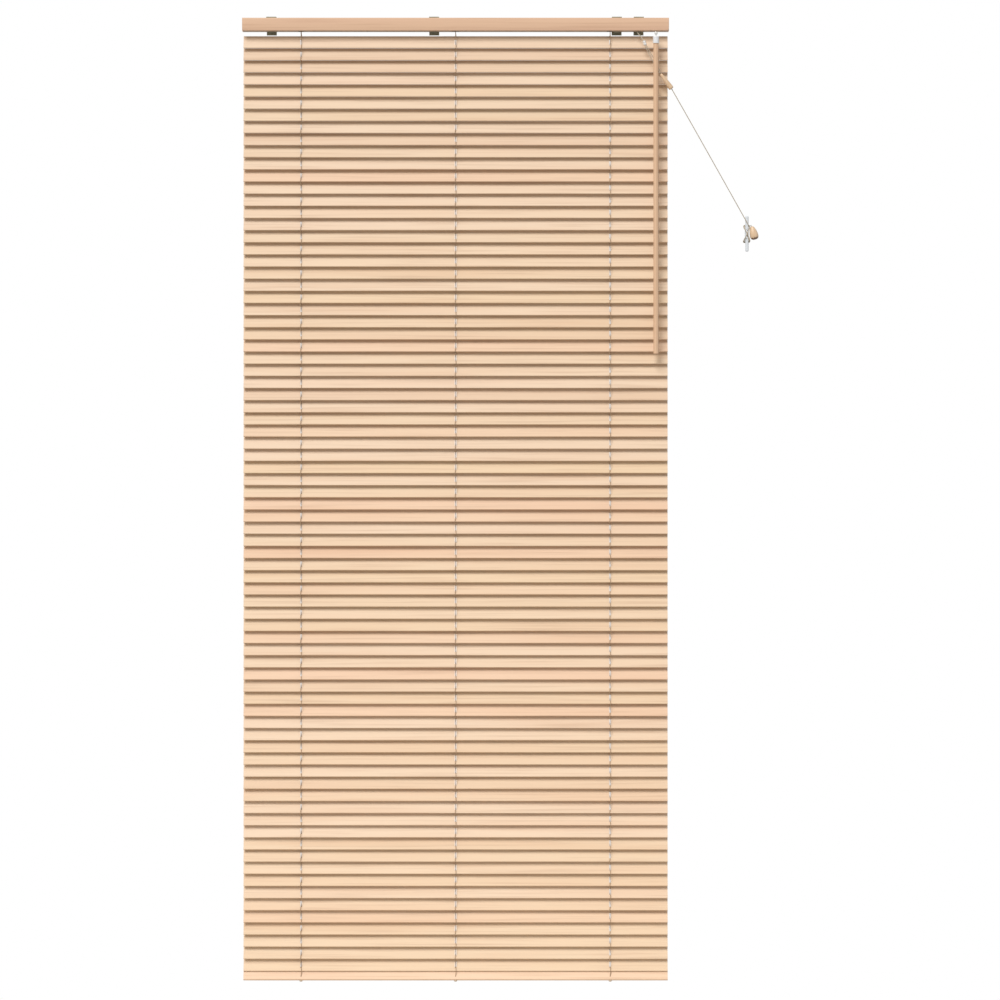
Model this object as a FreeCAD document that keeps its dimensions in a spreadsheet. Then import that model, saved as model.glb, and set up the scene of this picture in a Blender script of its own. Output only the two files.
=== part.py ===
"""A wooden venetian blind, 800 mm wide, closed, with its headrail mechanism, wand, pull cord and wall cleat.

Millimetres. The wall is the plane y = 0, the room is towards -y, z is up, and the origin is the screw hole of
the left-hand wall bracket, level with the middle of the headrail.
"""

import FreeCAD, Part
import Sketcher
import math
import os

doc = FreeCAD.newDocument("venetian_blind")
sheet = doc.addObject("Spreadsheet::Sheet", "Dims")
DRIVING = {
    "railMiddle": 345.7,
    "railLength": 800.0,
    "railHeight": 24.0,
    "railDepth": 23.0,
    "railWall": 1.2,
    "railBack": 2.2,
    "capThick": 1.5,
    "ladderSlotLength": 12.0,
    "ladderSlotWidth": 16.0,
    "outletPlace": 340.6,
    "outletLength": 8.0,
    "outletWidth": 4.0,
    "valanceThick": 3.8,
    "valanceRound": 4.0,
    "valanceEdge": 0.9,
    "slatLength": 796.0,
    "slatWidth": 25.0,
    "slatThick": 2.4,
    "slatRound": 1.0,
    "slatPitch": 22.785,
    "slatTilt": 68.0,
    "slatCount": 77.0,
    "firstSlatDrop": 32.5,
    "slatDepth": 14.0,
    "slotLength": 12.0,
    "slotWidth": 3.0,
    "ladderSpan": 290.0,
    "stringRadius": 0.6,
    "liftCordRadius": 0.6,
    "bottomRailDrop": 1781.0,
    "bottomRailThick": 8.0,
    "bottomRailRound": 1.6,
    "railHoleRadius": 0.9,
    "buttonRadius": 2.8,
    "buttonThick": 3.2,
    "buttonSunk": 0.8,
    "plateWidth": 18.7,
    "plateThick": 2.0,
    "plateAbove": 14.4,
    "plateBelow": 18.2,
    "screwRadius": 2.1,
    "bracketOne": -345.7,
    "bracketTwo": -40.3,
    "bracketThree": 302.6,
    "bracketFour": 343.8,
    "armReach": 23.0,
    "armThick": 2.2,
    "tongueWidth": 10.7,
    "tongueReach": 9.0,
    "tongueThick": 1.6,
    "rodSide": 5.0,
    "rodHeight": 1.0,
    "rodPlace": 308.0,
    "rodPast": 9.0,
    "cradleLength": 20.0,
    "cradleDepth": 18.8,
    "cradleHeight": 14.0,
    "drumRadius": 5.6,
    "drumLength": 12.0,
    "gearRadius": 5.9,
    "gearRoot": 4.7,
    "gearWidth": 6.0,
    "gearTeeth": 16.0,
    "wormRadius": 3.2,
    "wormLength": 11.0,
    "wormOffset": 9.5,
    "wormSlant": 70.0,
    "threadPitch": 2.1,
    "threadRound": 0.6,
    "stemRadius": 1.0,
    "stemReach": 29.8,
    "ballRadius": 2.0,
    "socketRadius": 3.0,
    "wandRadius": 4.85,
    "wandLength": 586.0,
    "wandPlace": 375.3,
    "sleeveRadius": 5.7,
    "sleeveLength": 13.0,
    "caseLength": 22.0,
    "caseDepth": 19.8,
    "caseHeight": 20.0,
    "lockLength": 22.0,
    "lockDepth": 11.0,
    "lockHeight": 8.0,
    "pinRadius": 0.9,
    "pawlRadius": 1.9,
    "pawlReach": 4.8,
    "pullRadius": 0.8,
    "strandRadius": 0.6,
    "cordGap": 0.4,
    "joinerRadius": 3.0,
    "joinerLength": 9.0,
    "bellTop": 2.6,
    "bellMouth": 4.85,
    "bellLength": 34.0,
    "tasselTop": 3.4,
    "tasselFoot": 8.0,
    "tasselLength": 25.0,
    "cleatLength": 67.0,
    "cleatWidth": 6.2,
    "cleatGap": 11.0,
    "cleatPlace": 547.0,
    "cleatDrop": 392.0,
    "hornThick": 5.0,
    "postWidth": 5.2,
    "postHeight": 20.0,
    "footHeight": 28.0,
    "footThick": 2.6,
    "woundWidth": 10.0,
    "woundDepth": 7.8,
    "woundHeight": 34.0,
}
for row, (alias, value) in enumerate(DRIVING.items(), start=1):
    sheet.set(f"A{row}", alias)
    sheet.set(f"B{row}", str(value))
    sheet.setAlias(f"B{row}", alias)
doc.recompute()


def dim(alias):
    """The value that the sheet holds under this name."""
    return float(sheet.get(alias))


def vec(x, y, z):
    return FreeCAD.Vector(x, y, z)


def bound(kind, name, place, turn=None, **sizes):
    """A primitive whose sizes are expressions on the sheet."""
    made = doc.addObject(kind, name)
    for size, expression in sizes.items():
        if isinstance(expression, str):
            made.setExpression(size, expression)
        else:
            setattr(made, size, expression)
    made.Placement = FreeCAD.Placement(place, turn or FreeCAD.Rotation())
    return made


def box(name, low, length, width, height):
    return bound("Part::Box", name, low, Length=length, Width=width, Height=height)


def rod(name, start, direction, radius, height):
    """A cylinder from start along direction."""
    turn = FreeCAD.Rotation(vec(0, 0, 1), direction)
    return bound("Part::Cylinder", name, start, turn, Radius=radius, Height=height)


def cut(name, base, tools):
    """The base less all the tools."""
    tool = tools[0]
    if len(tools) > 1:
        tool = doc.addObject("Part::MultiFuse", name + "_tools")
        tool.Shapes = tools
    made = doc.addObject("Part::Cut", name)
    made.Base = base
    made.Tool = tool
    return made


def fuse(name, pieces):
    made = doc.addObject("Part::MultiFuse", name)
    made.Shapes = pieces
    return made


def group(name, pieces):
    """Like pieces that share one node and stay separate solids."""
    made = doc.addObject("Part::Compound", name)
    made.Links = pieces
    return made


def rounded(name, base, radius, wanted):
    """The base with a radius on the edges that wanted() picks."""
    doc.recompute()
    made = doc.addObject("Part::Fillet", name)
    made.Base = base
    made.Edges = [(n, radius, radius) for n, edge in enumerate(base.Shape.Edges, start=1) if wanted(edge)]
    return made


def solid(name, shape):
    made = doc.addObject("Part::Feature", name)
    made.Shape = shape
    return made


nodes = {}
middle = dim("railMiddle")
ladders = [middle - dim("ladderSpan"), middle, middle + dim("ladderSpan")]
slat_y = -dim("slatDepth")
half_rail = dim("railLength") / 2
half_height = dim("railHeight") / 2
rail_y = -dim("railBack") - dim("railDepth")
valance_y = rail_y - 0.2 - dim("valanceThick")
rod_z = dim("rodHeight")
bottom_z = -dim("bottomRailDrop")

# Tilter: the worm lies askew in the y-z plane, passes under the gear and runs out below the valance
slant = math.radians(dim("wormSlant"))
wand_x = middle + dim("wandPlace")
stem_way = vec(0, -math.sin(slant), -math.cos(slant))
worm_centre = vec(wand_x, slat_y + dim("wormOffset") * math.cos(slant), rod_z - dim("wormOffset") * math.sin(slant))
ball_centre = worm_centre + stem_way * dim("stemReach")
stem_clearance = 0.5

# Headrail channel: one folded sheet, open at the top, drawn as a floor and two walls that meet, so that its
# inside stays open in collision. The floor is slotted under each ladder, the cord lock and the worm
channel_x = middle - half_rail + dim("capThick")
channel_length = "Dims.railLength - 2 * Dims.capThick"
floor_z = -half_height + dim("railWall")
floor_low = vec(channel_x, rail_y, -half_height)
floor_blank = box("channel_floor_blank", floor_low, channel_length, "Dims.railDepth", "Dims.railWall")
openings = []
for number, x in enumerate(ladders, start=1):
    low = vec(x - dim("ladderSlotLength") / 2, slat_y - dim("ladderSlotWidth") / 2, -half_height - 1)
    openings.append(box(f"ladder_slot_{number}", low, "Dims.ladderSlotLength", "Dims.ladderSlotWidth", 4.0))
lock_x = middle + dim("outletPlace")
outlet_low = vec(lock_x - dim("outletLength") / 2, rail_y + 2.6, -half_height - 1)
openings.append(box("cord_outlet", outlet_low, "Dims.outletLength", "Dims.outletWidth", 4.0))
openings.append(rod("stem_outlet", worm_centre, stem_way, dim("stemRadius") + stem_clearance, 40.0))
barrel_start = worm_centre - stem_way * (dim("wormLength") / 2 + stem_clearance)
openings.append(rod(
    "barrel_outlet", barrel_start, stem_way,
    dim("wormRadius") + stem_clearance, dim("wormLength") + 2 * stem_clearance,
))
channel_floor = cut("channel_floor", floor_blank, openings)
wall_height = "Dims.railHeight - Dims.railWall"
channel_front = box("channel_front", vec(channel_x, rail_y, floor_z), channel_length, "Dims.railWall", wall_height)
back_wall_y = rail_y + dim("railDepth") - dim("railWall")
channel_back = box("channel_back", vec(channel_x, back_wall_y, floor_z), channel_length, "Dims.railWall", wall_height)
nodes["headrail"] = group("headrail", [channel_floor, channel_front, channel_back])

# End caps, pressed into the channel
caps = []
for side, x in (("left", middle - half_rail), ("right", middle + half_rail - dim("capThick"))):
    caps.append(box(f"cap_{side}", vec(x, rail_y, -half_height), "Dims.capThick", "Dims.railDepth", "Dims.railHeight"))
nodes["headrail_end_caps"] = group("headrail_end_caps", caps)

# Valance: the wooden board that covers the channel, drawn as a sketch with its two lower corners rounded
body = doc.addObject("PartDesign::Body", "valance")
plane = [f for f in body.Origin.OriginFeatures if f.Role == "XZ_Plane"][0]
outline = body.newObject("Sketcher::SketchObject", "valance_outline")
outline.AttachmentSupport = [(plane, "")]
outline.MapMode = "FlatFace"
corners = [(-half_rail, half_height), (-half_rail, -half_height), (half_rail, -half_height), (half_rail, half_height)]
for (x0, z0), (x1, z1) in zip(corners, corners[1:] + corners[:1]):
    outline.addGeometry(Part.LineSegment(vec(x0, z0, 0), vec(x1, z1, 0)), False)
for first in range(4):
    outline.addConstraint(Sketcher.Constraint("Coincident", first, 2, (first + 1) % 4, 1))
for upright, level in ((0, 1), (2, 3)):
    outline.addConstraint(Sketcher.Constraint("Vertical", upright))
    outline.addConstraint(Sketcher.Constraint("Horizontal", level))
outline.addConstraint(Sketcher.Constraint("Symmetric", 0, 1, 2, 1, -1, 1))
width_rule = outline.addConstraint(Sketcher.Constraint("DistanceX", 1, 1, 1, 2, dim("railLength")))
outline.setExpression(f"Constraints[{width_rule}]", "Dims.railLength")
height_rule = outline.addConstraint(Sketcher.Constraint("DistanceY", 2, 1, 2, 2, dim("railHeight")))
outline.setExpression(f"Constraints[{height_rule}]", "Dims.railHeight")
board = body.newObject("PartDesign::Pad", "valance_board")
board.Profile = outline
board.setExpression("Length", "Dims.valanceThick")
doc.recompute()
lower = [
    f"Edge{n}" for n, e in enumerate(board.Shape.Edges, start=1)
    if e.BoundBox.YLength > 1 and e.BoundBox.ZMax < 0
]
corner_round = body.newObject("PartDesign::Fillet", "valance_corners")
corner_round.Base = (board, lower)
corner_round.setExpression("Radius", "Dims.valanceRound")
doc.recompute()
front_y = corner_round.Shape.BoundBox.YMin
front = [
    f"Edge{n}" for n, e in enumerate(corner_round.Shape.Edges, start=1)
    if e.BoundBox.YLength < 0.01 and abs(e.BoundBox.YMin - front_y) < 0.01
]
edge_round = body.newObject("PartDesign::Fillet", "valance_edges")
edge_round.Base = (corner_round, front)
edge_round.setExpression("Radius", "Dims.valanceEdge")
doc.recompute()
body.Placement = FreeCAD.Placement(vec(middle, valance_y - front_y, 0), FreeCAD.Rotation())
nodes["valance"] = body

# Wall brackets: a steel plate on the wall, an arm over the rail and a spring tongue under it
brackets = []
bracket_places = [dim(f"bracket{count}") for count in ("One", "Two", "Three", "Four")]
for number, along in enumerate(bracket_places, start=1):
    low_x = middle + along - dim("plateWidth") / 2
    plate = box(
        f"plate_{number}", vec(low_x, -dim("plateThick"), -dim("plateBelow")),
        "Dims.plateWidth", "Dims.plateThick", "Dims.plateAbove + Dims.plateBelow",
    )
    arm_low = vec(low_x, -dim("armReach"), dim("plateAbove") - dim("armThick"))
    arm = box(f"arm_{number}", arm_low, "Dims.plateWidth", "Dims.armReach", "Dims.armThick")
    tongue_low = vec(low_x + 4, -dim("tongueReach"), -half_height - dim("tongueThick") - 0.2)
    tongue = box(f"tongue_{number}", tongue_low, "Dims.tongueWidth", "Dims.tongueReach", "Dims.tongueThick")
    hole = rod(f"screw_hole_{number}", vec(middle + along, 1, 0), vec(0, -1, 0), "Dims.screwRadius", 4.0)
    brackets.append(cut(f"bracket_{number}", fuse(f"bracket_blank_{number}", [plate, arm, tongue]), [hole]))
nodes["wall_brackets"] = group("wall_brackets", brackets)

# Tilt rod, square, with a drum over each ladder and the worm gear near its right-hand end
rod_start = middle - dim("rodPlace")
nodes["tilt_rod"] = box(
    "tilt_rod", vec(rod_start, slat_y - dim("rodSide") / 2, rod_z - dim("rodSide") / 2),
    wand_x + dim("rodPast") - rod_start, "Dims.rodSide", "Dims.rodSide",
)
drums = []
cradles = []
square_gap = 0.05
for number, x in enumerate(ladders, start=1):
    start = vec(x - dim("drumLength") / 2, slat_y, rod_z)
    drum = rod(f"drum_round_{number}", start, vec(1, 0, 0), "Dims.drumRadius", "Dims.drumLength")
    bore_low = vec(start.x - 1, slat_y - dim("rodSide") / 2 - square_gap, rod_z - dim("rodSide") / 2 - square_gap)
    bore = box(f"drum_bore_{number}", bore_low, "Dims.drumLength + 2", "Dims.rodSide + 0.1", "Dims.rodSide + 0.1")
    drums.append(cut(f"drum_{number}", drum, [bore]))
    block_low = vec(x - dim("cradleLength") / 2, slat_y - dim("cradleDepth") / 2, floor_z)
    block = box(f"cradle_block_{number}", block_low, "Dims.cradleLength", "Dims.cradleDepth", "Dims.cradleHeight")
    seat = rod(f"cradle_seat_{number}", vec(x - 11, slat_y, rod_z), vec(1, 0, 0), "Dims.drumRadius + 0.5", 22.0)
    way = box(f"cradle_way_{number}", vec(x - 6.5, slat_y - 7.6, -half_height), 13.0, 15.2, 18.0)
    trough = box(f"cradle_trough_{number}", vec(x - 11, slat_y - 1.6, -half_height), 22.0, 3.2, 18.0)
    cradles.append(cut(f"cradle_{number}", block, [seat, way, trough]))
nodes["ladder_drums"] = group("ladder_drums", drums)
nodes["drum_cradles"] = group("drum_cradles", cradles)

# Worm gear: flat-topped teeth round a square bore
tooth_turn = 2 * math.pi / dim("gearTeeth")
outline_points = []
root = dim("gearRoot")
tip = dim("gearRadius")
for tooth in range(int(dim("gearTeeth"))):
    for share, radius in ((-0.28, root), (-0.14, tip), (0.14, tip), (0.28, root)):
        angle = (tooth + share) * tooth_turn
        outline_points.append(vec(0, radius * math.cos(angle), radius * math.sin(angle)))
gear_face = Part.Face(Part.makePolygon(outline_points + outline_points[:1]))
side = dim("rodSide") + 2 * square_gap
gear_bore = Part.makeBox(20, side, side, vec(-5, -side / 2, -side / 2))
gear = solid("tilter_gear", gear_face.extrude(vec(dim("gearWidth"), 0, 0)).cut(gear_bore))
gear.Placement = FreeCAD.Placement(vec(wand_x - dim("gearWidth") / 2, slat_y, rod_z), FreeCAD.Rotation())
nodes["tilter_gear"] = gear

# Tilter worm: threaded barrel, stem and ball end in one moulding
barrel_low = worm_centre - stem_way * dim("wormLength") * 0.5
barrel = rod("worm_barrel", barrel_low, stem_way, "Dims.wormRadius", "Dims.wormLength")
grooves = []
for number in range(5):
    at = worm_centre + stem_way * (number - 2) * dim("threadPitch")
    turn = FreeCAD.Rotation(vec(0, 0, 1), stem_way)
    ring = {"Radius1": "Dims.wormRadius + 0.1", "Radius2": "Dims.threadRound"}
    grooves.append(bound("Part::Torus", f"thread_{number}", at, turn, **ring))
thread = cut("worm_thread", barrel, grooves)
stem = rod("worm_stem", worm_centre, stem_way, "Dims.stemRadius", "Dims.stemReach")
ball = bound("Part::Sphere", "worm_ball", ball_centre, Radius="Dims.ballRadius")
nodes["tilter_worm"] = fuse("tilter_worm", [thread, stem, ball])

# Tilter housing: a box round gear and worm, standing on the channel floor
case_low = vec(wand_x - dim("caseLength") / 2, rail_y + 1.6, floor_z)
case_outside = box("case_outside", case_low, "Dims.caseLength", "Dims.caseDepth", "Dims.caseHeight")
case_inside = box(
    "case_inside", case_low + vec(1.2, 1.2, 1.0), "Dims.caseLength - 2.4", "Dims.caseDepth - 2.4", "Dims.caseHeight - 2.2"
)
case_bore = rod("case_bore", vec(case_low.x - 1, slat_y, rod_z), vec(1, 0, 0), 3.7, 24.0)
case_exit = rod("case_exit", worm_centre - stem_way * 6, stem_way, "Dims.wormRadius + 0.3", 40.0)
nodes["tilter_housing"] = cut("tilter_housing", case_outside, [case_inside, case_bore, case_exit])

# Cord lock: housing with a cord way, a pin across it and a serrated pawl that swings on the pin
lock_low = vec(lock_x - 12, rail_y + 1.6, floor_z)
lock_block = box("lock_block", lock_low, "Dims.lockLength", "Dims.lockDepth", "Dims.lockHeight")
lock_room = box(
    "lock_room", lock_low + vec(1.5, 1.5, -1), "Dims.lockLength - 3", "Dims.lockDepth - 3", "Dims.lockHeight - 0.6"
)
lock_mouth = box("lock_mouth", lock_low + vec(-1, 5.5, 0.5), 4.0, 4.0, 5.0)
nodes["cord_lock_housing"] = cut("cord_lock_housing", lock_block, [lock_room, lock_mouth])
pin_at = vec(lock_x - 4, lock_low.y, lock_low.z + 3.6)
nodes["cord_lock_pin"] = rod("cord_lock_pin", pin_at + vec(0, 1.5, 0), vec(0, 1, 0), "Dims.pinRadius", 8.0)
pawl_round = rod("pawl_round", pin_at + vec(0, 2.0, 0), vec(0, 1, 0), "Dims.pawlRadius", 7.0)
pawl_arm = box("pawl_arm", pin_at + vec(0, 2.0, -0.9), "Dims.pawlReach", 7.0, 1.8)
pawl_bore = rod("pawl_bore", pin_at + vec(0, 1.0, 0), vec(0, 1, 0), "Dims.pinRadius + 0.05", 9.0)
nodes["cord_lock_pawl"] = cut("cord_lock_pawl", fuse("pawl_blank", [pawl_round, pawl_arm]), [pawl_bore])

# One slat, flat, about its own centre: a basswood strip with rounded edges and three cord slots
slat_size = vec(dim("slatLength"), dim("slatWidth"), dim("slatThick"))
strip = box("slat_strip", slat_size * -0.5, "Dims.slatLength", "Dims.slatWidth", "Dims.slatThick")
strip_round = rounded("slat_strip_round", strip, dim("slatRound"), lambda e: e.BoundBox.XLength > 100)
strip_slots = []
for number, x in enumerate(ladders, start=1):
    low = vec(x - middle - dim("slotWidth") / 2, -dim("slotLength") / 2, -5)
    strip_slots.append(box(f"slat_slot_{number}", low, "Dims.slotWidth", "Dims.slotLength", 10.0))
slat_pattern = cut("slat_pattern", strip_round, strip_slots)
doc.recompute()


def slat_place(number):
    """Where a slat hangs: front edge down, one pitch below the slat above it."""
    z = -dim("firstSlatDrop") - (number - 1) * dim("slatPitch")
    return FreeCAD.Placement(vec(middle, slat_y, z), FreeCAD.Rotation(vec(1, 0, 0), dim("slatTilt")))


slat_numbers = range(1, int(dim("slatCount")) + 1)
turning = [n for n in slat_numbers if n % 3 == 2]
between = [n for n in slat_numbers if n % 3 != 2]
for number in turning:
    slat = solid(f"slat_{number:02d}", slat_pattern.Shape.copy())
    slat.Placement = slat_place(number)
    nodes[slat.Name] = slat
third = len(between) // 3
for name, start in (("slats_between_upper", 0), ("slats_between_middle", third), ("slats_between_lower", 2 * third)):
    copies = []
    for number in between[start:start + third]:
        copy = slat_pattern.Shape.copy()
        copy.Placement = slat_place(number)
        copies.append(copy)
    nodes[name] = solid(name, Part.makeCompound(copies))

# Bottom rail: a thicker bar, turned closed like the slats, drilled for the lift cords. The ladder strings end on
# it, and a button over each knot sits in a recess in its lower edge
string_front = slat_y - 6.5
string_back = slat_y + 6.5
rail_turn = FreeCAD.Rotation(vec(1, 0, 0), dim("slatTilt"))
rail_along = rail_turn.multVec(vec(0, 1, 0))
rail_size = vec(dim("slatLength"), dim("slatWidth"), dim("bottomRailThick"))
rail_bar = bound(
    "Part::Box", "rail_bar", vec(middle, slat_y, bottom_z) + rail_turn.multVec(rail_size * -0.5), rail_turn,
    Length="Dims.slatLength", Width="Dims.slatWidth", Height="Dims.bottomRailThick",
)
rail_round = rounded("rail_round", rail_bar, dim("bottomRailRound"), lambda e: e.BoundBox.XLength > 100)
drillings = []
buttons = []
for number, x in enumerate(ladders, start=1):
    centre = vec(x, slat_y, bottom_z)
    drillings.append(rod(f"rail_hole_{number}", centre - vec(0, 0, 30), vec(0, 0, 1), "Dims.railHoleRadius", 60.0))
    recess_top = centre - rail_along * (dim("slatWidth") / 2 - dim("buttonSunk") - 0.4)
    drillings.append(rod(f"rail_recess_{number}", recess_top, rail_along * -1, "Dims.buttonRadius + 0.3", 5.0))
    button_top = centre - rail_along * (dim("slatWidth") / 2 - dim("buttonSunk"))
    button = rod(f"button_blank_{number}", button_top, rail_along * -1, "Dims.buttonRadius", "Dims.buttonThick")
    buttons.append(rounded(f"button_{number}", button, 0.8, lambda e: e.Curve.TypeId == "Part::GeomCircle"))
nodes["bottom_rail"] = cut("bottom_rail", rail_round, drillings)
nodes["cord_buttons"] = group("cord_buttons", buttons)

# Ladder strings and lift cords
for label, y, foot_z in (("front", string_front, bottom_z - 3.5), ("back", string_back, bottom_z + 11.5)):
    strings = []
    for number, x in enumerate(ladders, start=1):
        top = vec(x, y, rod_z)
        name = f"string_{label}_{number}"
        strings.append(rod(name, top, vec(0, 0, -1), "Dims.stringRadius", rod_z - foot_z))
    nodes[f"ladder_strings_{label}"] = group(f"ladder_strings_{label}", strings)


def tube(points, radius, bend=None):
    """A cord along straight runs joined by tangent arcs, and its volume against section times length."""
    edges = []
    start = points[0]
    radii = []
    for before, here, after in zip(points, points[1:], points[2:]):
        back = (before - here).normalize()
        on = (after - here).normalize()
        half_turn = (math.pi - back.getAngle(on)) / 2
        arc = bend or 0.45 * min((before - here).Length, (after - here).Length) / math.tan(half_turn)
        setback = arc * math.tan(half_turn)
        radii.append(arc)
        enter = here + back * setback
        leave = here + on * setback
        inward = (back + on).normalize()
        crown = here + inward * (arc / math.cos(half_turn) - arc)
        edges.append(Part.LineSegment(start, enter).toShape())
        edges.append(Part.Arc(enter, crown, leave).toShape())
        start = leave
    edges.append(Part.LineSegment(start, points[-1]).toShape())
    path = Part.Wire(edges)
    section = Part.Wire(Part.makeCircle(radius, points[0], points[1] - points[0]))
    made = path.makePipeShell([section], True, True)
    expected = math.pi * radius**2 * path.Length
    print("cord", round(path.Length, 1), "radii", [round(r, 1) for r in radii], round(made.Volume / expected, 3))
    return made


lift_cords = []
for number, x in enumerate(ladders):
    level = -5.6 - 1.4 * number
    route = [vec(x, slat_y, bottom_z), vec(x, slat_y, level), vec(lock_low.x - 3, slat_y, level)]
    lift_cords.append(tube(route, dim("liftCordRadius"), 3.0))
nodes["lift_cords"] = solid("lift_cords", Part.makeCompound(lift_cords))

# Ball socket on the stem, sleeve and wand below it
socket_shell = bound("Part::Sphere", "socket_shell", ball_centre, Radius="Dims.socketRadius")
shank = rod("socket_shank", ball_centre - vec(0, 0, dim("ballRadius") + 0.5), vec(0, 0, -1), 1.0, 10.0)
socket_room = bound("Part::Sphere", "socket_room", ball_centre, Radius="Dims.ballRadius + 0.1")
mouth = box("socket_mouth", ball_centre + vec(-1.7, -0.6, -1.7), 3.4, 6.0, 6.0)
mouth_top = box("socket_mouth_top", ball_centre + vec(-1.7, -3.6, 0.9), 3.4, 6.0, 6.0)
nodes["wand_socket"] = cut("wand_socket", fuse("socket_blank", [socket_shell, shank]), [socket_room, mouth, mouth_top])
sleeve_top = ball_centre - vec(0, 0, 6.0)
sleeve_round = rod("sleeve_round", sleeve_top, vec(0, 0, -1), "Dims.sleeveRadius", "Dims.sleeveLength")
sleeve_bore = rod("sleeve_bore", sleeve_top + vec(0, 0, 1), vec(0, 0, -1), 1.05, 20.0)
sleeve_seat = rod("sleeve_seat", sleeve_top - vec(0, 0, 7.5), vec(0, 0, -1), "Dims.wandRadius + 0.05", 10.0)
sleeve_cut = cut("sleeve_cut", sleeve_round, [sleeve_bore, sleeve_seat])
nodes["wand_sleeve"] = rounded(
    "wand_sleeve", sleeve_cut, 1.2, lambda e: e.BoundBox.XLength > 11 and e.BoundBox.ZMin > sleeve_top.z - 0.1
)
wand_top = sleeve_top - vec(0, 0, 7.6)
nodes["wand"] = bound(
    "Part::Prism", "wand", wand_top - vec(0, 0, dim("wandLength")),
    Polygon=8, Circumradius="Dims.wandRadius", Height="Dims.wandLength",
)

# Pull cord: outlet, joiner, two strands, bell, single cord, cleat. Points are x, y and z about the rail's middle
def near(x, y, z):
    return vec(middle + x, y, z)


outlet = near(340.6, -20.6, -10.4)
joiner_top = near(353.0, -32.0, -31.5)
joiner_way = near(356.0, -32.0, -41.0) - near(353.0, -32.0, -31.5)
joiner_way.normalize()
joiner_foot = joiner_top + joiner_way * dim("joinerLength")
bell_top = near(384.6, -33.0, -94.3)
bell_way = near(405.0, -33.6, -122.2) - near(384.6, -33.0, -94.3)
bell_way.normalize()
bell_foot = bell_top + bell_way * dim("bellLength")
tail_end = joiner_top - joiner_way * dim("cordGap")
tail = tube([outlet, near(341.4, -24.5, -17.0), near(348.0, -30.0, -24.0), tail_end], dim("pullRadius"))
nodes["cord_tail"] = solid("cord_tail", tail)
joiner = rod("joiner_blank", joiner_top, joiner_way, "Dims.joinerRadius", "Dims.joinerLength")
nodes["cord_joiner"] = rounded("cord_joiner", joiner, 1.0, lambda e: True)
strands = []
for offset, bow in ((-1.6, -1.5), (1.6, 2.0)):
    start = joiner_foot + vec(-joiner_way.z, 0, joiner_way.x) * offset * 0.75 + joiner_way * dim("cordGap")
    end = bell_top + vec(-bell_way.z, 0, bell_way.x) * offset * 0.6 - bell_way * dim("cordGap")
    spread = vec(bow, 0, -bow * 0.7)
    route = [start, start + (end - start) * 0.33 + spread, start + (end - start) * 0.68 + spread, end]
    strands.append(tube(route, dim("strandRadius")))
nodes["cord_strands"] = solid("cord_strands", Part.makeCompound(strands))
bell_turn = FreeCAD.Rotation(vec(0, 0, 1), bell_way)
bell_blank = bound(
    "Part::Cone", "bell_blank", bell_top, bell_turn,
    Radius1="Dims.bellTop", Radius2="Dims.bellMouth", Height="Dims.bellLength",
)
nodes["condenser_bell"] = rounded("condenser_bell", bell_blank, 1.2, lambda e: True)

# Wall cleat: a base plate with two horns, moulded in clear plastic, and two screw holes
cleat_x = middle + dim("cleatPlace")
cleat_z = -dim("cleatDrop")
cleat_half = dim("cleatLength") / 2
horn = box(
    "cleat_horn", vec(cleat_x - dim("cleatWidth") / 2, -dim("cleatGap") - dim("hornThick"), cleat_z - cleat_half),
    "Dims.cleatWidth", "Dims.hornThick", "Dims.cleatLength",
)
horn_round = rounded("cleat_horn_round", horn, 2.2, lambda e: True)
post_low = vec(cleat_x - dim("postWidth") / 2, -dim("cleatGap") - 3.0, cleat_z - dim("postHeight") / 2)
post = box("cleat_post", post_low, "Dims.postWidth", "Dims.cleatGap + 1", "Dims.postHeight")
foot_low = vec(cleat_x - dim("cleatWidth") / 2, -dim("footThick"), cleat_z - dim("footHeight") / 2)
foot = box("cleat_foot", foot_low, "Dims.cleatWidth", "Dims.footThick", "Dims.footHeight")
cleat_tools = []
for number, up in enumerate((-6.0, 6.0), start=1):
    through = rod(f"cleat_hole_{number}", vec(cleat_x, 1, cleat_z + up), vec(0, -1, 0), 1.6, 20.0)
    cleat_tools.append(through)
nodes["cleat"] = cut("cleat", fuse("cleat_blank", [horn_round, post, foot]), cleat_tools)

# The cord goes to the cleat, is wound round it in a figure of eight, and ends in the tassel
cord_y = -dim("cleatGap") - 6.0
pull_route = [
    bell_foot,
    near(431.4, -33.0, -168.5),
    near(506.3, -25.0, -300.0),
    near(548.4, cord_y, -373.9),
]
nodes["pull_cord"] = solid("pull_cord", tube(pull_route, dim("pullRadius")))
turn_low = vec(cleat_x - dim("woundWidth") / 2, -dim("cleatGap") - 6.4, cleat_z - dim("woundHeight") / 2)
wound_outside = box("wound_outside", turn_low, "Dims.woundWidth", "Dims.woundDepth", "Dims.woundHeight")
wound_inside = box(
    "wound_inside", vec(cleat_x - dim("cleatWidth") / 2 - 0.2, turn_low.y + 1.2, turn_low.z - 1),
    "Dims.cleatWidth + 0.4", "Dims.hornThick + 0.4", "Dims.woundHeight + 2",
)
post_room = box("post_room", vec(cleat_x - 2.9, turn_low.y + 5.0, cleat_z - 10.4), 5.8, 9.0, 20.8)
nodes["cord_windings"] = cut("cord_windings", wound_outside, [wound_inside, post_room])
tassel_top = vec(cleat_x + 9.2, -14.0, cleat_z + 13.6)
tassel_way = vec(6.0, 0, -24.0).normalize()
tassel_blank = bound(
    "Part::Cone", "tassel_blank", tassel_top, FreeCAD.Rotation(vec(0, 0, 1), tassel_way),
    Radius1="Dims.tasselTop", Radius2="Dims.tasselFoot", Height="Dims.tasselLength",
)
nodes["tassel"] = rounded("tassel", tassel_blank, 2.0, lambda e: True)

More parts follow.
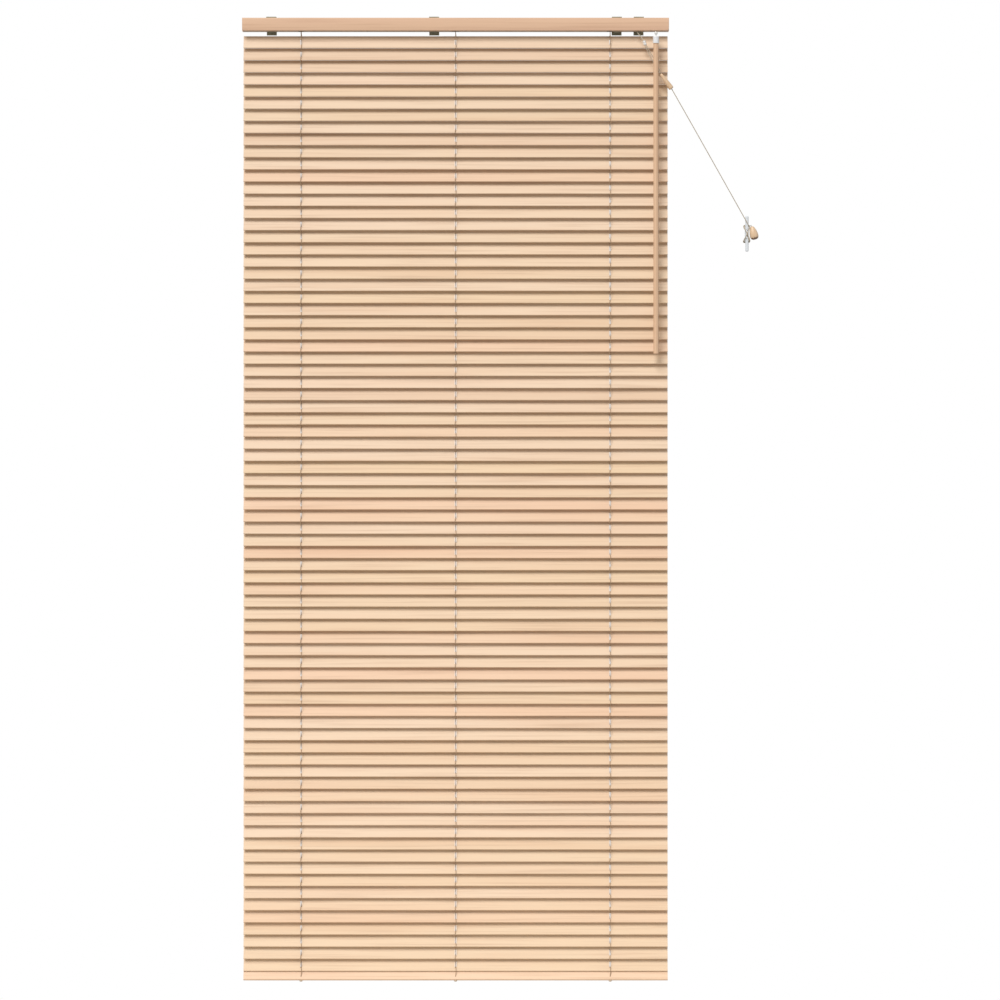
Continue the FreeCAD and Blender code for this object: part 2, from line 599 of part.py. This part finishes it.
doc.recompute()
for thing in doc.Objects:
    if "Invalid" in thing.State or "Error" in thing.State:
        raise SystemExit(f"{thing.Name} failed: {thing.State}")
os.makedirs("parts", exist_ok=True)
for name, thing in nodes.items():
    thing.Label = name
    if thing.Shape.isNull() or not thing.Shape.isValid() or not thing.Shape.Solids:
        raise SystemExit(f"{name} has no sound solid")
    thing.Shape.exportStep(f"parts/{name}.step")
print(len(nodes), "nodes")
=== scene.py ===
import bpy
import bmesh
import math
from mathutils import Matrix, Vector


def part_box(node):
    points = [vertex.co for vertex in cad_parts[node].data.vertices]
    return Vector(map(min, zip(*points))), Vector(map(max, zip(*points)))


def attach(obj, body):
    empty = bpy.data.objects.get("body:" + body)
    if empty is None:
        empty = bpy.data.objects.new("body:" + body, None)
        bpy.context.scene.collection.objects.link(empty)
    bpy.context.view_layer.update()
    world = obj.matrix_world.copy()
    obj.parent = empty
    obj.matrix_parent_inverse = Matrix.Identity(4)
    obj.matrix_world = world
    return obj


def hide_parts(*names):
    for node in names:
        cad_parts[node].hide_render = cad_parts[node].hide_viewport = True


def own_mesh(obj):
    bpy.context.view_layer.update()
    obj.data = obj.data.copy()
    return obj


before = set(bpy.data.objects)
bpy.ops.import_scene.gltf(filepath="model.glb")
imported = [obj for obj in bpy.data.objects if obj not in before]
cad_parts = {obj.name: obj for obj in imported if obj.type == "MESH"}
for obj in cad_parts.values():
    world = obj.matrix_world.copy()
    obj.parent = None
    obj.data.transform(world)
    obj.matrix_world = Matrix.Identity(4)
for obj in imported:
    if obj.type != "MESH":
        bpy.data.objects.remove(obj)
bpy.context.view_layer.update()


# Camera and room. The blind hangs square to the viewer, who stands well back at half its height.
# Plain white surroundings, a hard lamp from the upper left, and a pale floor below.
rail_low, rail_high = (Vector(corner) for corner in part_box("valance"))
rail_middle = (rail_low.x + rail_high.x) / 2
rail_length = rail_high.x - rail_low.x
view_width = rail_length * 2.342
view_distance = 7.5
camera_data = bpy.data.cameras.new("viewer")
camera = bpy.data.objects.new("viewer", camera_data)
bpy.context.scene.collection.objects.link(camera)
camera.location = (rail_middle + rail_length * 0.1042, -view_distance, -view_width * 0.4760)
camera.rotation_euler = (math.pi / 2, 0, 0)
camera_data.sensor_width = 36.0
camera_data.lens = camera_data.sensor_width * (view_distance + rail_low.y) / view_width
camera_data.clip_end = 60
bpy.context.scene.camera = camera
bpy.context.scene.view_settings.view_transform = "Standard"

sun_data = bpy.data.lights.new("key", "SUN")
sun_data.energy = 2.52
sun_data.angle = math.radians(30)
sun_data.color = (1.0, 0.98, 0.95)
sun = bpy.data.objects.new("key", sun_data)
sun.rotation_euler = Vector((0.42, 1.0, -1.12)).to_track_quat("-Z", "Y").to_euler()
bpy.context.scene.collection.objects.link(sun)

world = bpy.data.worlds.new("white_room")
bpy.context.scene.world = world
world.use_nodes = True
sky = world.node_tree
sky.nodes.clear()
fill = sky.nodes.new("ShaderNodeBackground")
fill.inputs["Color"].default_value = (1.0, 0.99, 0.97, 1)
fill.inputs["Strength"].default_value = 0.45
seen = sky.nodes.new("ShaderNodeBackground")
seen.inputs["Color"].default_value = (1, 1, 1, 1)
seen.inputs["Strength"].default_value = 1.0
rays = sky.nodes.new("ShaderNodeLightPath")
choose = sky.nodes.new("ShaderNodeMixShader")
sky_out = sky.nodes.new("ShaderNodeOutputWorld")
sky.links.new(rays.outputs["Is Camera Ray"], choose.inputs[0])
sky.links.new(fill.outputs[0], choose.inputs[1])
sky.links.new(seen.outputs[0], choose.inputs[2])
sky.links.new(choose.outputs[0], sky_out.inputs[0])


def plain_shader(name, colour, roughness):
    """A material with one Principled shader, whose nodes and shader are handed back."""
    material = bpy.data.materials.new(name)
    material.use_nodes = True
    shader = material.node_tree.nodes["Principled BSDF"]
    shader.inputs["Base Color"].default_value = (*colour, 1)
    shader.inputs["Roughness"].default_value = roughness
    return material, material.node_tree, shader


def place(name, mesh, *materials):
    """A mesh in the scene, with its materials in order."""
    made = bpy.data.objects.new(name, mesh)
    bpy.context.scene.collection.objects.link(made)
    for material in materials:
        mesh.materials.append(material)
    return made


floor_half = 1.6
floor_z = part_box("bottom_rail")[0][2] - 0.08
floor_mesh = bpy.data.meshes.new("floor")
floor_mesh.from_pydata(
    [
        (rail_middle - floor_half, -floor_half, floor_z),
        (rail_middle + floor_half, -floor_half, floor_z),
        (rail_middle + floor_half, 0.10, floor_z),
        (rail_middle - floor_half, 0.10, floor_z),
    ],
    [],
    [(0, 1, 2, 3)],
)
floor_paint = plain_shader("floor_paint", (0.86, 0.86, 0.85), 0.8)[0]
place("floor", floor_mesh, floor_paint)


# Pull cord. Braided polyester, 1.6 mm thick. It leaves the cord lock through the floor of the channel, runs
# to the joiner, and below the bell goes on as one cord, pulled tight, to the cleat.
outlet = (0.6863, -0.0206, -0.0104)
tail_route = [outlet, (0.6871, -0.0245, -0.0170), (0.6937, -0.0300, -0.0240), (0.6987, -0.0320, -0.0315)]
cord_radius = 0.0008


def noise(nodes, scale, detail, vector):
    """A noise texture fed by a vector."""
    made = nodes.nodes.new("ShaderNodeTexNoise")
    made.inputs["Scale"].default_value = scale
    made.inputs["Detail"].default_value = detail
    nodes.links.new(vector, made.inputs["Vector"])
    return made.outputs["Fac"]


def stretched(nodes, sizes):
    """The piece's own coordinates, stretched by sizes."""
    place_of = nodes.nodes.new("ShaderNodeTexCoord")
    stretch = nodes.nodes.new("ShaderNodeMapping")
    stretch.inputs["Scale"].default_value = sizes
    nodes.links.new(place_of.outputs["Object"], stretch.inputs["Vector"])
    return stretch.outputs["Vector"]


def ramp(nodes, value, stops):
    """A colour for each value, from a list of place and colour."""
    made = nodes.nodes.new("ShaderNodeValToRGB")
    bar = made.color_ramp
    while len(bar.elements) < len(stops):
        bar.elements.new(0.5)
    for element, (position, colour) in zip(bar.elements, stops):
        element.position = position
        element.color = (*colour, 1)
    nodes.links.new(value, made.inputs["Fac"])
    return made.outputs["Color"]


def raised(nodes, shader, value, strength, distance):
    """Bump from a value, into the shader."""
    bump = nodes.nodes.new("ShaderNodeBump")
    bump.inputs["Strength"].default_value = strength
    bump.inputs["Distance"].default_value = distance
    nodes.links.new(value, bump.inputs["Height"])
    nodes.links.new(bump.outputs["Normal"], shader.inputs["Normal"])


def braid(name, pale, dark, fuzz):
    """Braided cord: diagonal plaits along the cord, a little fuzz and uneven colour."""
    material, nodes, shader = plain_shader(name, pale, 0.85)
    plait = nodes.nodes.new("ShaderNodeTexWave")
    plait.wave_type = "BANDS"
    plait.bands_direction = "DIAGONAL"
    plait.inputs["Scale"].default_value = 420
    plait.inputs["Distortion"].default_value = 1.5
    nodes.links.new(stretched(nodes, (1, 1, 1)), plait.inputs["Vector"])
    nodes.links.new(
        ramp(nodes, plait.outputs["Fac"], [(0.1, dark), (0.6, pale)]), shader.inputs["Base Color"]
    )
    raised(nodes, shader, plait.outputs["Fac"], 0.6, 0.0003)
    shader.inputs["Sheen Weight"].default_value = fuzz
    return material


cord_braid = braid("cord_braid", (0.58, 0.51, 0.41), (0.36, 0.30, 0.22), 0.2)
string_braid = braid("string_braid", (0.48, 0.33, 0.21), (0.30, 0.195, 0.12), 0.05)


def cord_curve(name, route, radius, material):
    """A round cord on a smooth line through its route."""
    data = bpy.data.curves.new(name, "CURVE")
    data.dimensions = "3D"
    spline = data.splines.new("NURBS")
    spline.points.add(len(route) - 1)
    for point, at in zip(spline.points, route):
        point.co = (*at, 1)
    spline.order_u = 3
    spline.use_endpoint_u = True
    spline.resolution_u = 12
    data.bevel_depth = radius
    data.bevel_resolution = 4
    data.use_fill_caps = True
    made = bpy.data.objects.new(name, data)
    bpy.context.scene.collection.objects.link(made)
    data.materials.append(material)
    return made


tail = cord_curve("pull_cord_tail", tail_route, cord_radius, cord_braid)
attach(tail, "root")
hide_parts("cord_tail")

bell_top = Vector((0.7303, -0.0330, -0.0943))
bell_way = (Vector((0.7507, -0.0336, -0.1222)) - bell_top).normalized()
bell_length = 0.034
bell_foot = bell_top + bell_way * bell_length
pull_route = [
    tuple(bell_foot), (0.7771, -0.0330, -0.1685), (0.8520, -0.0250, -0.3000), (0.8941, -0.0170, -0.3739),
]
pull = cord_curve("pull_cord_line", pull_route, cord_radius, cord_braid)
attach(pull, "root")
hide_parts("pull_cord")


# Strands. Two thinner cords, the ends of the lift cords, that hang from the joiner into the top of the bell
# and part a little on the way.
joiner_top = Vector(tail_route[-1])
joiner_way = (Vector((0.7017, -0.0320, -0.0410)) - joiner_top).normalized()
joiner_length = 0.009
joiner_foot = joiner_top + joiner_way * joiner_length
strand_radius = 0.0006
cord_gap = 0.0004
strand_inside = 0.002
for name, offset, bow in (("strand_left", -0.0016, -0.0015), ("strand_right", 0.0016, 0.0020)):
    joiner_side = Vector((-joiner_way.z, 0, joiner_way.x)) * offset * 0.75
    bell_side = Vector((-bell_way.z, 0, bell_way.x)) * offset * 0.6
    start = joiner_foot + joiner_side + joiner_way * cord_gap
    end = bell_top + bell_side - bell_way * cord_gap
    spread = Vector((bow, 0, -bow * 0.7))
    strand_route = [
        start - joiner_way * strand_inside, start, start.lerp(end, 0.33) + spread,
        start.lerp(end, 0.68) + spread, end, end + bell_way * strand_inside,
    ]
    strand = cord_curve(name, [tuple(point) for point in strand_route], strand_radius, cord_braid)
    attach(strand, "root")
    if offset < 0:
        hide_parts("cord_strands")


# Joiner. A clear moulded barrel with a waist, threaded on the cords below the headrail and held by the knot
# inside it.
def clear_plastic(name, tint, roughness, clearness):
    """Clear moulded plastic with a faint flow texture."""
    material, nodes, shader = plain_shader(name, tint, roughness)
    shader.inputs["Transmission Weight"].default_value = clearness
    shader.inputs["IOR"].default_value = 1.46
    raised(nodes, shader, noise(nodes, 260, 2, stretched(nodes, (1, 1, 0.4))), 0.15, 0.0003)
    return material


def turned(name, foot, way, outline, material, sides=48):
    """A solid of revolution: outline is a list of distance along way and radius."""
    across = way.orthogonal().normalized()
    over = way.cross(across)
    mesh = bmesh.new()
    rings = []
    for along, radius in outline:
        ring = []
        for step in range(sides):
            angle = step * math.tau / sides
            out = across * math.cos(angle) + over * math.sin(angle)
            ring.append(mesh.verts.new(foot + way * along + out * radius))
        rings.append(ring)
    for low, high in zip(rings, rings[1:]):
        for step in range(sides):
            after = (step + 1) % sides
            mesh.faces.new((low[step], low[after], high[after], high[step]))
    mesh.faces.new(rings[0][::-1])
    mesh.faces.new(rings[-1])
    bmesh.ops.recalc_face_normals(mesh, faces=mesh.faces)
    data = bpy.data.meshes.new(name)
    mesh.to_mesh(data)
    mesh.free()
    for face in data.polygons:
        face.use_smooth = True
    return place(name, data, material)


def in_metres(outline):
    """An outline given in millimetres, in metres."""
    return [(along * 0.001, radius * 0.001) for along, radius in outline]


joiner_plastic = clear_plastic("joiner_plastic", (0.93, 0.93, 0.92), 0.16, 0.25)
joiner_outline = [
    (0.0, 1.4), (0.05, 1.9), (0.7, 2.6), (1.8, 2.95), (3.4, 2.9), (4.3, 2.45), (4.9, 2.45),
    (5.6, 2.9), (7.2, 2.95), (8.3, 2.5), (8.95, 1.8), (9.0, 1.3),
]
joiner = turned("cord_joiner_barrel", joiner_top, joiner_way, in_metres(joiner_outline), joiner_plastic)
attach(joiner, "root")
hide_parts("cord_joiner")


# Bell and tassel. Turned hardwood, drilled through for the cord and lacquered. The bell gathers the strands
# into the single cord, and the tassel ends it. Its foot is a much darker brown.
def wood(name, pale, warm, dark, along, tone, gloss=0.42, grain=1.0):
    """Lacquered wood: fine straight streaks and pores, its grain along an axis (0 x, 2 z). tone tints it."""
    material, nodes, shader = plain_shader(name, pale, gloss)
    fine = [260 * grain, 260 * grain, 260 * grain]
    fine[along] = 5 * grain
    broad = [34 * grain, 34 * grain, 34 * grain]
    broad[along] = 1.3 * grain
    streak = noise(nodes, 1, 6, stretched(nodes, fine))
    drift = noise(nodes, 1, 3, stretched(nodes, broad))
    base = ramp(nodes, drift, [(0.30, warm), (0.52, pale), (0.72, warm)])
    if tone is not None:
        tinted = nodes.nodes.new("ShaderNodeMix")
        tinted.data_type = "RGBA"
        tinted.blend_type = "MULTIPLY"
        tinted.inputs["Factor"].default_value = 1.0
        nodes.links.new(base, tinted.inputs["A"])
        nodes.links.new(tone(nodes), tinted.inputs["B"])
        base = tinted.outputs["Result"]
    line = nodes.nodes.new("ShaderNodeMapRange")
    line.inputs["From Min"].default_value = 0.50
    line.inputs["From Max"].default_value = 0.74
    line.inputs["To Max"].default_value = 0.42
    nodes.links.new(streak, line.inputs["Value"])
    lined = nodes.nodes.new("ShaderNodeMix")
    lined.data_type = "RGBA"
    lined.inputs["B"].default_value = (*dark, 1)
    nodes.links.new(line.outputs["Result"], lined.inputs["Factor"])
    nodes.links.new(base, lined.inputs["A"])
    nodes.links.new(lined.outputs["Result"], shader.inputs["Base Color"])
    worn = nodes.nodes.new("ShaderNodeMapRange")
    worn.inputs["To Min"].default_value = gloss - 0.08
    worn.inputs["To Max"].default_value = gloss + 0.14
    nodes.links.new(drift, worn.inputs["Value"])
    nodes.links.new(worn.outputs["Result"], shader.inputs["Roughness"])
    raised(nodes, shader, streak, 0.22, 0.0004)
    return material


turned_wood = wood(
    "turned_wood", (0.760, 0.560, 0.380), (0.700, 0.490, 0.310), (0.46, 0.28, 0.16), 2, None, 0.35, 1.6
)
bell_outline = [
    (0.0, 1.2), (0.1, 2.0), (0.8, 2.5), (3.0, 2.8), (8.0, 3.2), (16.0, 3.9), (24.0, 4.5), (30.0, 4.8),
    (32.6, 4.7), (33.7, 4.0), (34.0, 3.0), (33.2, 2.2),
]
bell = turned("bell", bell_top, bell_way, in_metres(bell_outline), turned_wood)
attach(bell, "root")
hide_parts("condenser_bell")

cleat_low, cleat_high = (Vector(corner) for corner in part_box("cleat"))
cleat_middle = (cleat_low + cleat_high) / 2
tassel_top = Vector((cleat_middle.x + 0.0092, -0.0140, cleat_middle.z + 0.0136))
tassel_way = Vector((6.0, 0, -24.0)).normalized()
tassel_outline = [
    (0.0, 1.4), (0.2, 2.2), (1.0, 3.2), (2.4, 4.1), (4.5, 5.1), (7.5, 6.2), (10.5, 7.1), (13.5, 7.7),
    (16.5, 8.0), (19.0, 7.95), (21.0, 7.5), (22.4, 6.9), (23.6, 5.9), (24.6, 4.4), (25.0, 2.8), (24.4, 1.8),
]
tassel = turned("tassel_drop", tassel_top, tassel_way, in_metres(tassel_outline), turned_wood)
# The tip and underside of the tassel get a much darker brown wood than the rest.
dark_foot_wood = wood(
    "tassel_dark_foot", (0.20, 0.105, 0.060), (0.16, 0.080, 0.045), (0.09, 0.045, 0.025), 2, None, 0.4, 1.6
)
dark_foot_from = 0.0217
tassel.data.materials.append(dark_foot_wood)
for face in tassel.data.polygons:
    if (face.center - tassel_top).dot(tassel_way) > dark_foot_from:
        face.material_index = 1
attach(tassel, "root")
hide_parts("tassel")


# Turns on the cleat. The cord is crossed over the post and round both horns in a figure of eight, and its
# tail comes off to the tassel.
post_y = -0.0090
front_y = -0.0166
winding = [(0.8941, -0.0170, -0.3739)]
turn_count = 3
for turn in range(turn_count):
    grow = turn * 0.0009
    lift = turn * 0.0008
    left = cleat_middle.x - 0.0050 - grow
    right = cleat_middle.x + 0.0042 + grow
    top = cleat_middle.z + 0.0150
    foot = cleat_middle.z - 0.0150
    winding += [
        (right, front_y, top - 0.003),
        (right - 0.001, post_y, top + grow),
        (left + 0.001, post_y, top + grow),
        (left, front_y, top - 0.004),
        (cleat_middle.x, front_y - 0.0010 - lift, cleat_middle.z + grow),
        (right, front_y, foot + 0.003),
        (right - 0.001, post_y, foot - grow),
        (left + 0.001, post_y, foot - grow),
        (left - 0.0008, front_y, foot + 0.001),
        (cleat_middle.x, front_y - 0.0018 - lift, cleat_middle.z - grow),
    ]
winding += [
    (cleat_middle.x + 0.0040, front_y, cleat_middle.z + 0.0100),
    (cleat_middle.x + 0.0062, -0.0158, cleat_middle.z + 0.0158),
    tuple(tassel_top - tassel_way * 0.001),
    tuple(tassel_top + tassel_way * 0.002),
]
turn_radius = cord_radius * 0.85
turns = cord_curve("cleat_turns", winding, turn_radius, cord_braid)
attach(turns, "root")
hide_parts("cord_windings")


# Cleat. One clear plastic moulding, a short post on a foot with a long horn each way, screwed to the wall.
cleat_plastic = clear_plastic("cleat_plastic", (0.79, 0.83, 0.87), 0.28, 0.10)


def dress(node, material):
    """A carried-over piece gets its material."""
    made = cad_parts[node]
    made.data.materials.clear()
    made.data.materials.append(material)
    return made


dress("cleat", cleat_plastic)


# Slats. 77 strips of lacquered basswood, 2.4 mm thick, slotted for the lift cords and laid in the rungs.
# Every third has a hinge of its own. The two beside it repeat its shape and ride on that hinge.
slat_tilt = math.radians(68)
slat_count = 77
second_low, second_high = (Vector(corner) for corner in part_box("slat_02"))
last_low = Vector(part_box("slat_77")[0])
slat_pitch = (second_low.z - last_low.z) / (slat_count - 2)
first_slat = (second_low + second_high) / 2 + Vector((0, 0, slat_pitch))


def slat_tone(nodes):
    """One tone for each slat, some pinker and some yellower, by the distance across the closed slats."""
    across = nodes.nodes.new("ShaderNodeVectorMath")
    across.operation = "DOT_PRODUCT"
    place_of = nodes.nodes.new("ShaderNodeTexCoord")
    nodes.links.new(place_of.outputs["Object"], across.inputs[0])
    across.inputs[1].default_value = (0, -math.sin(slat_tilt), math.cos(slat_tilt))
    count = nodes.nodes.new("ShaderNodeMath")
    count.operation = "SUBTRACT"
    first = Vector((0, -math.sin(slat_tilt), math.cos(slat_tilt))).dot(first_slat)
    nodes.links.new(across.outputs["Value"], count.inputs[0])
    count.inputs[1].default_value = first
    number = nodes.nodes.new("ShaderNodeMath")
    number.operation = "SNAP"
    step = slat_pitch * math.cos(slat_tilt)
    shift = nodes.nodes.new("ShaderNodeMath")
    shift.inputs[1].default_value = step / 2
    nodes.links.new(count.outputs[0], shift.inputs[0])
    nodes.links.new(shift.outputs[0], number.inputs[0])
    number.inputs[1].default_value = step
    whole = nodes.nodes.new("ShaderNodeMath")
    whole.operation = "MULTIPLY"
    whole.inputs[1].default_value = 37.7 / step
    nodes.links.new(number.outputs[0], whole.inputs[0])
    chance = nodes.nodes.new("ShaderNodeTexNoise")
    chance.noise_dimensions = "1D"
    chance.inputs["Scale"].default_value = 1.0
    chance.inputs["Detail"].default_value = 1.0
    nodes.links.new(whole.outputs[0], chance.inputs["W"])
    return ramp(
        nodes, chance.outputs["Fac"],
        [(0.30, (1.0, 0.92, 0.87)), (0.42, (0.97, 0.96, 0.90)), (0.52, (1.0, 1.0, 1.0)),
         (0.62, (0.98, 0.96, 0.86)), (0.72, (0.94, 0.90, 0.86))],
    )


slat_wood = wood(
    "slat_wood", (0.745, 0.560, 0.400), (0.715, 0.510, 0.352), (0.46, 0.28, 0.165), 0, slat_tone
)

open_turn = Matrix.Rotation(slat_tilt, 3, "X")
up = Vector((0, 0, 1))


def keep_place(piece, distance):
    """Gives a piece on a neighbour's hinge a mesh of its own. The shift from its turned place to its own at
    full tilt is worked out but not applied.
    """
    shift = (open_turn @ up - up) * distance
    if shift.length < 1e-9:
        return
    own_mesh(piece)


def hinge_slat(number):
    """The number of the hinged slat that a slat rides with."""
    past = (number - 2) % 3
    return min(number - past + (3 if past == 2 else 0), slat_count)


string_reach = 0.0065
string_front_y = first_slat.y - string_reach
string_back_y = first_slat.y + string_reach
string_lean = 0.0009
ladder_spacing = 0.290
ladder_places = [rail_middle - ladder_spacing, rail_middle, rail_middle + ladder_spacing]
slat_half = 0.0125
half_slat_thickness = 0.0012
under = half_slat_thickness + 0.00045
rung_beyond = 0.0009
rung_bend = 0.0012
rung_drop = 0.0004
rung_flat = 0.008


def rung_points(number, x):
    """The rung below a slat: from string to string, close under the slat."""
    middle = first_slat - up * (slat_pitch * (number - 1))
    along = Vector((0, math.cos(slat_tilt), math.sin(slat_tilt)))
    below = Vector((0, math.sin(slat_tilt), -math.cos(slat_tilt)))
    lean = string_lean if number % 2 else -string_lean
    front = middle - along * (slat_half + rung_beyond)
    back = middle + along * (slat_half + rung_beyond)
    points = [front, front + (along + below).normalized() * rung_bend + below * rung_drop]
    points += [middle - along * rung_flat + below * under, middle + along * rung_flat + below * under]
    points += [back - along * 2 * rung_drop + below * rung_bend, back]
    count = len(points) - 1
    return [Vector((x + lean * (1 - 2 * n / count), p.y, p.z)) for n, p in enumerate(points)]


def add_tube(mesh, points, radius, sides, slot):
    """A tube along points, added to a bmesh."""
    rings = []
    for n, here in enumerate(points):
        before = points[max(n - 1, 0)]
        after = points[min(n + 1, len(points) - 1)]
        way = (after - before).normalized()
        across = way.cross(Vector((1, 0, 0)))
        if across.length < 0.1:
            across = way.cross(Vector((0, 1, 0)))
        across.normalize()
        over = way.cross(across)
        turns_of = [step * math.tau / sides for step in range(sides)]
        rings.append([
            mesh.verts.new(here + (across * math.cos(a) + over * math.sin(a)) * radius) for a in turns_of
        ])
    for low, high in zip(rings, rings[1:]):
        for step in range(sides):
            after = (step + 1) % sides
            face = mesh.faces.new((low[step], low[after], high[after], high[step]))
            face.material_index = slot
            face.smooth = True
    for ring in (rings[0][::-1], rings[-1]):
        mesh.faces.new(ring).material_index = slot


rung_radius = 0.00042
first_of_group = {1: "slats_between_upper", 27: "slats_between_middle", 52: "slats_between_lower"}
pattern = dress("slat_02", slat_wood).data
for number in range(1, slat_count + 1):
    hinge = hinge_slat(number)
    if number == hinge:
        dress(f"slat_{number:02d}", slat_wood)
    body = f"slat_{hinge:02d}_body"
    mesh = bmesh.new()
    if number != hinge:
        mesh.from_mesh(pattern)
        bmesh.ops.translate(mesh, verts=mesh.verts, vec=up * (-slat_pitch * (number - 2)))
    for x in ladder_places:
        add_tube(mesh, rung_points(number, x), rung_radius, 8, 1 if number != hinge else 0)
    bmesh.ops.recalc_face_normals(mesh, faces=mesh.faces)
    name = f"slat_{number:02d}_with_rungs" if number != hinge else f"rungs_{number:02d}"
    data = bpy.data.meshes.new(name)
    mesh.to_mesh(data)
    mesh.free()
    if number != hinge:
        piece = place(name, data, slat_wood, string_braid)
    else:
        piece = place(name, data, string_braid)
    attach(piece, body)
    keep_place(piece, (hinge - number) * slat_pitch)
    if number in first_of_group:
        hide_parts(first_of_group[number])


# Ladder strings. Thin braided strings in front of the slats and behind them, held by the drums above and the
# buttons below. They zigzag a little from rung to rung.
bottom_low, bottom_high = (Vector(corner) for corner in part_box("bottom_rail"))
string_radius = 0.00052
string_top = -0.0124
front_foot = -0.0050
back_foot = 0.0100
for side, y, sign in (("front", string_front_y, -1), ("back", string_back_y, 1)):
    for index, x in enumerate(ladder_places, start=1):
        mesh = bmesh.new()
        points = [Vector((x, y, string_top))]
        for number in range(1, slat_count + 1):
            z = first_slat.z - slat_pitch * (number - 1)
            lean = string_lean if number % 2 else -string_lean
            edge = z + sign * slat_half * math.sin(slat_tilt)
            points.append(Vector((x + lean, y, edge)))
            points.append(Vector((x + lean * 0.2, y, edge - slat_pitch * 0.45)))
        foot_z = (bottom_low.z + bottom_high.z) / 2 + (front_foot if sign < 0 else back_foot)
        points = [p for p in points if p.z > foot_z + 0.0015]
        points.append(Vector((x, y, foot_z)))
        add_tube(mesh, points, string_radius, 8, 0)
        bmesh.ops.recalc_face_normals(mesh, faces=mesh.faces)
        data = bpy.data.meshes.new(f"string_{side}_{index}")
        mesh.to_mesh(data)
        mesh.free()
        string = place(f"string_{side}_{index}", data, string_braid)
        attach(string, "root")
        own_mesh(string)
        if index == 1:
            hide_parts(f"ladder_strings_{side}")


# Bottom rail and its buttons. A heavier basswood bar, rounded along its edges and drilled over each ladder,
# with a moulded button pressed up into the recess to hide the knots.
rail_wood = wood(
    "bottom_rail_wood", (0.770, 0.545, 0.375), (0.720, 0.480, 0.318), (0.50, 0.30, 0.17), 0, None
)
dress("bottom_rail", rail_wood)


def moulded(name, colour, roughness, texture):
    """Moulded plastic: a fine spark-eroded texture and a slight unevenness of gloss."""
    material, nodes, shader = plain_shader(name, colour, roughness)
    grit = noise(nodes, texture, 3, stretched(nodes, (1, 1, 1)))
    tint = ramp(nodes, grit, [(0.3, tuple(c * 0.92 for c in colour)), (0.7, colour)])
    nodes.links.new(tint, shader.inputs["Base Color"])
    raised(nodes, shader, grit, 0.2, 0.0002)
    return material


dress("cord_buttons", moulded("button_plastic", (0.55, 0.42, 0.30), 0.5, 1500))
dress("lift_cords", string_braid)


# Valance and end caps. The board that covers the channel, of the same wood but darker towards pink, with its
# lower corners and its front edges rounded, clipped on to the channel.
valance_wood = wood(
    "valance_wood", (0.740, 0.490, 0.330), (0.700, 0.445, 0.305), (0.48, 0.28, 0.17), 0, None, 0.45, 0.8
)
pattern_board = dress("valance", valance_wood).data
crown = 0.0009
face_depth = 0.0012
board = bmesh.new()
board.from_mesh(pattern_board)
strips = 14
for step in range(1, strips):
    level = rail_low.z + (rail_high.z - rail_low.z) * step / strips
    everything = board.verts[:] + board.edges[:] + board.faces[:]
    bmesh.ops.bisect_plane(board, geom=everything, plane_co=(0, 0, level), plane_no=(0, 0, 1))
half_board = (rail_high.z - rail_low.z) / 2
for corner in board.verts:
    if corner.co.y < rail_low.y + face_depth:
        away = (corner.co.z - (rail_low.z + rail_high.z) / 2) / half_board
        corner.co.y += crown * away * away
board_data = bpy.data.meshes.new("crowned_board")
board.to_mesh(board_data)
board.free()
crowned = place("crowned_board", board_data, valance_wood)
for face in board_data.polygons:
    face.use_smooth = abs(face.normal.y) > 0.6
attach(crowned, "root")
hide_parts("valance")
dress("headrail_end_caps", valance_wood)


# Headrail channel and wall brackets. Folded steel: the channel enamelled to match the wood, the brackets in
# olive-grey plating with fine rub marks from fitting.
def plated(name, colour, roughness, metal):
    """Plated or enamelled sheet steel: long faint rub marks and small dull patches."""
    material, nodes, shader = plain_shader(name, colour, roughness)
    shader.inputs["Metallic"].default_value = metal
    rub = noise(nodes, 1, 4, stretched(nodes, (40, 500, 500)))
    patch = noise(nodes, 90, 3, stretched(nodes, (1, 1, 1)))
    dull = tuple(c * 0.72 for c in colour)
    nodes.links.new(ramp(nodes, patch, [(0.35, dull), (0.62, colour)]), shader.inputs["Base Color"])
    gloss = nodes.nodes.new("ShaderNodeMapRange")
    gloss.inputs["To Min"].default_value = roughness - 0.1
    gloss.inputs["To Max"].default_value = roughness + 0.2
    nodes.links.new(rub, gloss.inputs["Value"])
    nodes.links.new(gloss.outputs["Result"], shader.inputs["Roughness"])
    raised(nodes, shader, rub, 0.15, 0.0002)
    return material


dress("headrail", plated("channel_enamel", (0.55, 0.40, 0.28), 0.4, 0.0))
dress("wall_brackets", plated("bracket_plating", (0.330, 0.320, 0.225), 0.5, 0.25))


# Mechanism inside the headrail. A square drawn-steel rod turns a nylon drum in a cradle over each ladder. A
# worm and gear drive it, and the cord lock beside it grips the lift cords.
rod_steel = plated("rod_steel", (0.52, 0.52, 0.52), 0.3, 1.0)
nylon = moulded("white_nylon", (0.80, 0.80, 0.78), 0.38, 1200)
for node in ("tilt_rod", "cord_lock_pin"):
    dress(node, rod_steel)
for node in (
    "ladder_drums", "drum_cradles", "tilter_gear", "tilter_worm", "tilter_housing", "cord_lock_housing",
    "cord_lock_pawl",
):
    dress(node, nylon)
dress("wand_socket", nylon)


# Wand. An eight-sided rod of lacquered hardwood, 580 mm long, in a clear sleeve that hangs from the socket.
wand_wood = wood(
    "wand_wood", (0.740, 0.500, 0.330), (0.690, 0.440, 0.280), (0.48, 0.29, 0.17), 2, None, 0.36, 0.9
)
dress("wand", wand_wood)
dress("wand_sleeve", clear_plastic("sleeve_plastic", (0.93, 0.94, 0.97), 0.2, 0.15))
